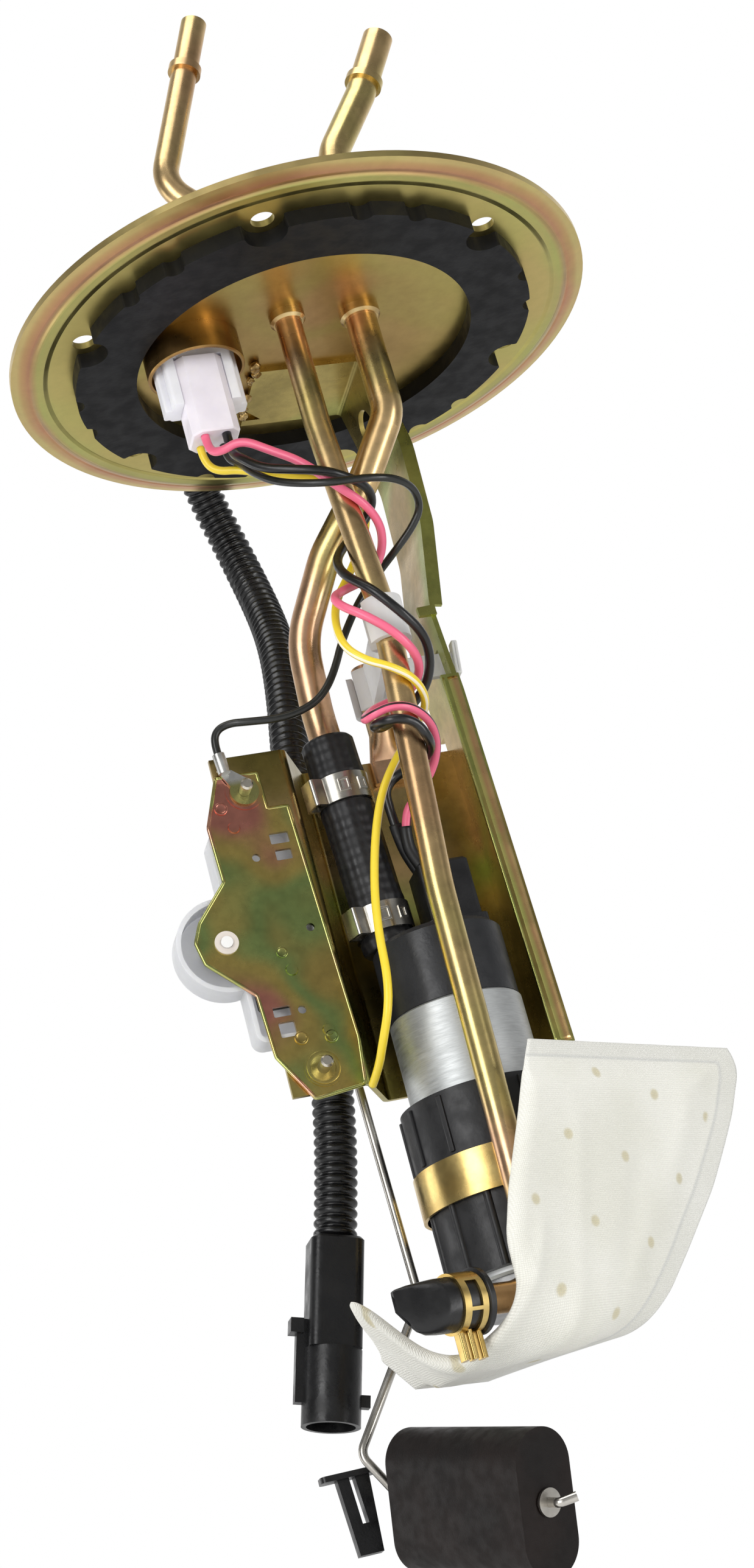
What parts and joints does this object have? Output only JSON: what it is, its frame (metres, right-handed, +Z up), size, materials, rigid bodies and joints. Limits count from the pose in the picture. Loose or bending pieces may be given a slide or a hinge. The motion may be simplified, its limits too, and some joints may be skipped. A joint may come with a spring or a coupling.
{
  "type": "fuel pump module",
  "caption": "In-tank fuel pump module: round plated flange with two nipples, folded bracket, electric pump, strainer sock, level sender with float arm, wiring conduit.",
  "frame": {"origin": "centre of the flange's bolt circle, on the flange's lower face", "axes": "+Z up out of the tank along the flange's axis, +X towards the bracket's side wall, +Y away from the level sender"},
  "size_m": [0.178, 0.2043, 0.4805],
  "materials": {
    "zinc_plate": "yellow chromated zinc plate",
    "tube_plate": "yellow chromated zinc plate on drawn tube",
    "stainless": "bright stainless",
    "spring_steel": "plated spring steel",
    "can_alloy": "fine turned and rolled",
    "black_rubber": "matte",
    "hose_rubber": "cloth marked matte",
    "white_nylon": "translucent natural nylon",
    "black_plastic": "fine moulded",
    "float_foam": "closed cell nitrile foam",
    "sock_cloth": "woven nylon mesh",
    "copper": "bare winding wire",
    "ferrite": "sintered",
    "resistor_card": "ceramic with printed track",
    "brass": "turned",
    "wire_pink": "insulation",
    "wire_black": "insulation",
    "wire_yellow": "insulation",
    "wire_green": "black insulation with a green line"
  },
  "bodies": {
    "module": {"flange_plate": "zinc_plate", "flange_gasket": "black_rubber", "connector_cup": "zinc_plate", "tank_connector": "white_nylon", "wire_plug": "white_nylon", "conduit_boot": "black_rubber", "supply_tube": "tube_plate", "return_tube": "tube_plate", "supply_collar": "brass", "return_collar": "brass", "bracket": "zinc_plate", "brace_tube": "tube_plate", "fuel_hose": "hose_rubber", "upper_hose_clamp": "stainless", "lower_hose_clamp": "stainless", "pump_can": "can_alloy", "pump_top_cap": "black_plastic", "pump_magnets": "ferrite", "pump_chamber": "can_alloy", "pump_inlet_cap": "can_alloy", "pump_sleeve": "black_rubber", "pump_strap": "zinc_plate", "pump_terminal_block": "black_plastic", "pump_plug": "black_plastic", "sender_plate": "zinc_plate", "sender_bush": "brass", "ground_stud": "zinc_plate", "lower_stud": "zinc_plate", "sender_housing": "white_nylon", "sender_card": "resistor_card", "tube_clip": "white_nylon", "check_valve": "black_rubber", "valve_clamp": "spring_steel", "strainer_sock": "sock_cloth", "strainer_neck": "white_nylon", "conduit": "black_plastic", "harness_plug": "black_plastic", "plug_terminals": "brass", "lock_clip": "black_plastic", "wire_pink": "wire_pink", "wire_black": "wire_black", "wire_yellow": "wire_yellow", "wire_green": "wire_green", "ground_terminal": "stainless"},
    "pump_rotor": {"pump_armature": "copper", "pump_impeller": "black_plastic"},
    "sender_arm": {"float_arm": "stainless", "sender_rotor": "white_nylon", "sender_wiper": "brass", "float_washer": "stainless"},
    "float": {"sender_float": "float_foam"}
  },
  "joints": [
    {"name": "float_swing", "type": "hinge", "parent": "module", "child": "sender_arm", "pos_m": [-0.064, 0.0294, -0.181], "axis": [0, 1, 0], "range_deg": [0, 80]},
    {"name": "float_spin", "type": "hinge", "parent": "sender_arm", "child": "float", "pos_m": [-0.0509, 0.0294, -0.337], "axis": [0.4169, -0.8689, -0.267], "continuous": true},
    {"name": "pump_spin", "type": "hinge", "parent": "module", "child": "pump_rotor", "pos_m": [-0.0055, 0.014, -0.25], "axis": [0, 0, 1], "continuous": true}
  ]
}
